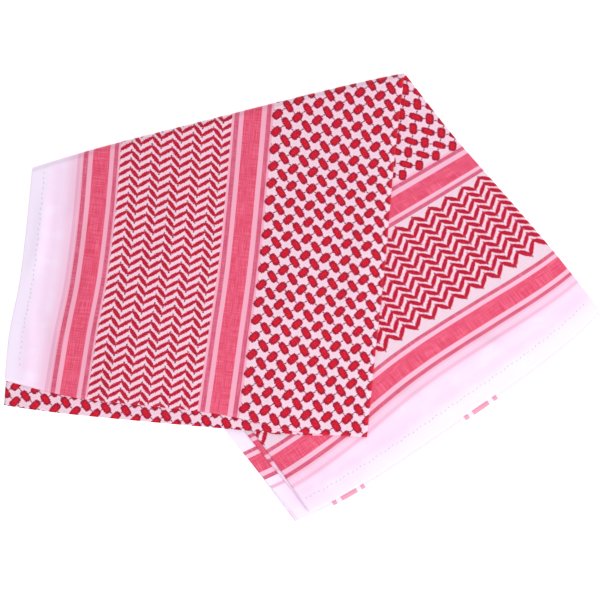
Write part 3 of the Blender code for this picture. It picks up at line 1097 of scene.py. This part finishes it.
def read_settings(group):
    """A property group's values as a named tuple, colours as plain tuples."""
    names = list(type(group).__annotations__)
    values = (getattr(group, name) for name in names)
    return namedtuple("Settings", names)(*(v if isinstance(v, float) else tuple(v) for v in values))


Cottons = namedtuple("Cottons", "patterned plain thread")


def cottons(scene):
    """The scarf's materials, made once for all its pieces."""
    colours = read_settings(scene.headscarf_colours)
    makers = {
        "woven_pattern": make_patterned_cotton,
        "woven_hem": make_plain_cotton,
        "sewing_thread": make_sewing_thread,
    }
    materials = bpy.data.materials
    return Cottons(*(materials.get(name) or make(name, colours) for name, make in makers.items()))


class HEADSCARF_OT_right_arm(bpy.types.Operator):
    """Makes the right arm: the three thirds of the cloth and their hems"""

    bl_idname = "headscarf.right_arm"
    bl_label = "Make the right arm"

    def execute(self, context):
        make_right_arm(cottons(context.scene), read_settings(context.scene.headscarf_sizes))
        return {"FINISHED"}


class HEADSCARF_OT_left_arm(bpy.types.Operator):
    """Makes the left arm: its top, its hidden layers and the layer that shows below them"""

    bl_idname = "headscarf.left_arm"
    bl_label = "Make the left arm"

    def execute(self, context):
        make_left_arm(cottons(context.scene), read_settings(context.scene.headscarf_sizes))
        return {"FINISHED"}


class HEADSCARF_OT_stitches(bpy.types.Operator):
    """Makes the line of stitches along each hem"""

    bl_idname = "headscarf.stitches"
    bl_label = "Make the stitches"

    def execute(self, context):
        make_stitches(cottons(context.scene).thread, read_settings(context.scene.headscarf_sizes))
        return {"FINISHED"}


class HEADSCARF_OT_stage(bpy.types.Operator):
    """Makes the floor, the lights and the camera"""

    bl_idname = "headscarf.stage"
    bl_label = "Make the stage"

    def execute(self, context):
        make_stage(context.scene, context.scene.headscarf_stage)
        return {"FINISHED"}


class HEADSCARF_PT_panel(bpy.types.Panel):
    """Lists the pieces, the stage, and their settings"""

    bl_idname = "HEADSCARF_PT_panel"
    bl_label = "Headscarf"
    bl_space_type = "VIEW_3D"
    bl_region_type = "UI"
    bl_category = "Headscarf"

    def draw(self, context):
        for operator in OPERATORS:
            self.layout.operator(operator.bl_idname)
        for settings in SETTINGS:
            group = getattr(context.scene, settings)
            for name in type(group).__annotations__:
                self.layout.prop(group, name)


def make_stage(scene, settings):
    """A pale floor, soft light from all round and above, and a camera straight above."""
    half = settings.floor_size / 2
    corners = np.array([(-half, -half, 0), (half, -half, 0), (half, half, 0), (-half, half, 0)])
    tree = Tree("studio_floor")
    tree.put(tree.shader.inputs["Base Color"], (0.95, 0.95, 0.95))
    tree.put(tree.shader.inputs["Roughness"], 0.9)
    tree.put(tree.shader.inputs["Emission Color"], (1.0, 1.0, 1.0))
    tree.put(tree.shader.inputs["Emission Strength"], 0.5)
    mesh = bpy.data.meshes.new("studio_floor")
    mesh.from_pydata(corners, [], [(0, 1, 2, 3)])
    mesh.materials.append(tree.material)
    floor = bpy.data.objects.new("studio_floor", mesh)
    scene.collection.objects.link(floor)

    world = bpy.data.worlds.new("studio")
    world.use_nodes = True
    world.node_tree.nodes["Background"].inputs["Color"].default_value = (1, 1, 1, 1)
    world.node_tree.nodes["Background"].inputs["Strength"].default_value = 0.72
    scene.world = world

    data = bpy.data.lights.new("soft_box", "AREA")
    data.energy, data.size, data.shape = 17, 1.2, "SQUARE"
    light = bpy.data.objects.new("soft_box", data)
    light.location = (0.9, -0.8, 1.1)
    light.rotation_euler = (math.radians(33), math.radians(36), 0)
    scene.collection.objects.link(light)

    shift_x, shift_y = table_shift()
    data = bpy.data.cameras.new("camera")
    data.sensor_width, data.lens = 36, 200
    camera = bpy.data.objects.new("camera", data)
    camera.location = (shift_x, shift_y, settings.view_width * data.lens / data.sensor_width)
    scene.collection.objects.link(camera)
    scene.camera = camera
    scene.view_settings.view_transform = "Standard"


OPERATORS = (
    HEADSCARF_OT_right_arm, HEADSCARF_OT_left_arm, HEADSCARF_OT_stitches, HEADSCARF_OT_stage,
)
SETTINGS = {
    "headscarf_colours": HeadscarfColours,
    "headscarf_sizes": HeadscarfSizes,
    "headscarf_stage": HeadscarfStage,
}
CLASSES = (*SETTINGS.values(), *OPERATORS, HEADSCARF_PT_panel)


def register():
    for cls in CLASSES:
        bpy.utils.register_class(cls)
    for name, cls in SETTINGS.items():
        setattr(bpy.types.Scene, name, bpy.props.PointerProperty(type=cls))


def unregister():
    for name in SETTINGS:
        delattr(bpy.types.Scene, name)
    for cls in reversed(CLASSES):
        bpy.utils.unregister_class(cls)


def main():
    register()
    bpy.ops.headscarf.right_arm()
    bpy.ops.headscarf.left_arm()
    bpy.ops.headscarf.stitches()
    bpy.ops.headscarf.stage()


if __name__ == "__main__":
    main()
